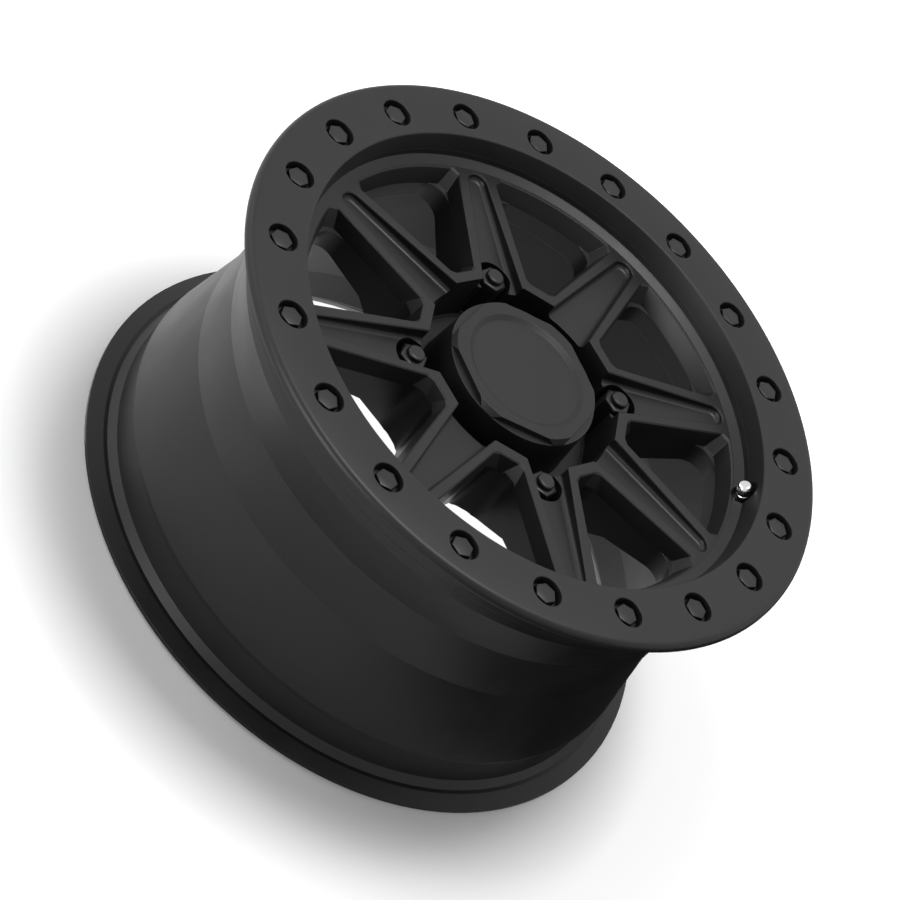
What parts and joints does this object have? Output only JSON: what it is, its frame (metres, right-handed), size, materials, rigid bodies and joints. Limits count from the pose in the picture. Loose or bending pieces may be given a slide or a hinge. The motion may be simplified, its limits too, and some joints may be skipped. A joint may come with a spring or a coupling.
{
  "type": "off-road wheel",
  "caption": "Off-road wheel without a tyre: cast drop-centre barrel, trough spokes, a bolted outer bead ring with sunk hex bolts, conical lug nuts, a dished centre cap and a clamp-in valve.",
  "frame": {"origin": "on the wheel's axis, in the plane that the inboard flange rests on", "axes": "+Z along the wheel's axis towards its face, +X through a lug"},
  "size_m": [0.4175, 0.4176, 0.207],
  "materials": {
    "casting_black": "satin black coating on cast aluminium",
    "ring_black": "satin black coating on turned aluminium",
    "bolt_black": "black zinc on steel",
    "cap_black": "satin black moulded plastic",
    "nut_black": "black zinc on steel",
    "stem_black": "black anodised aluminium",
    "grommet_rubber": "black rubber",
    "washer_bright": "bright zinc on steel",
    "clamp_nut_black": "black anodised aluminium",
    "core_brass": "plain brass",
    "valve_cap_bright": "bright turned aluminium",
    "seal_rubber": "black rubber"
  },
  "bodies": {
    "root": {"rim_casting": "casting_black", "outer_ring": "ring_black", "ring_bolts": "bolt_black", "centre_cap": "cap_black", "lug_nuts": "nut_black", "valve_stem": "stem_black", "valve_grommet": "grommet_rubber", "valve_washer": "washer_bright", "valve_nut": "clamp_nut_black", "valve_core": "core_brass", "valve_cap": "valve_cap_bright", "valve_cap_seal": "seal_rubber"}
  },
  "joints": []
}
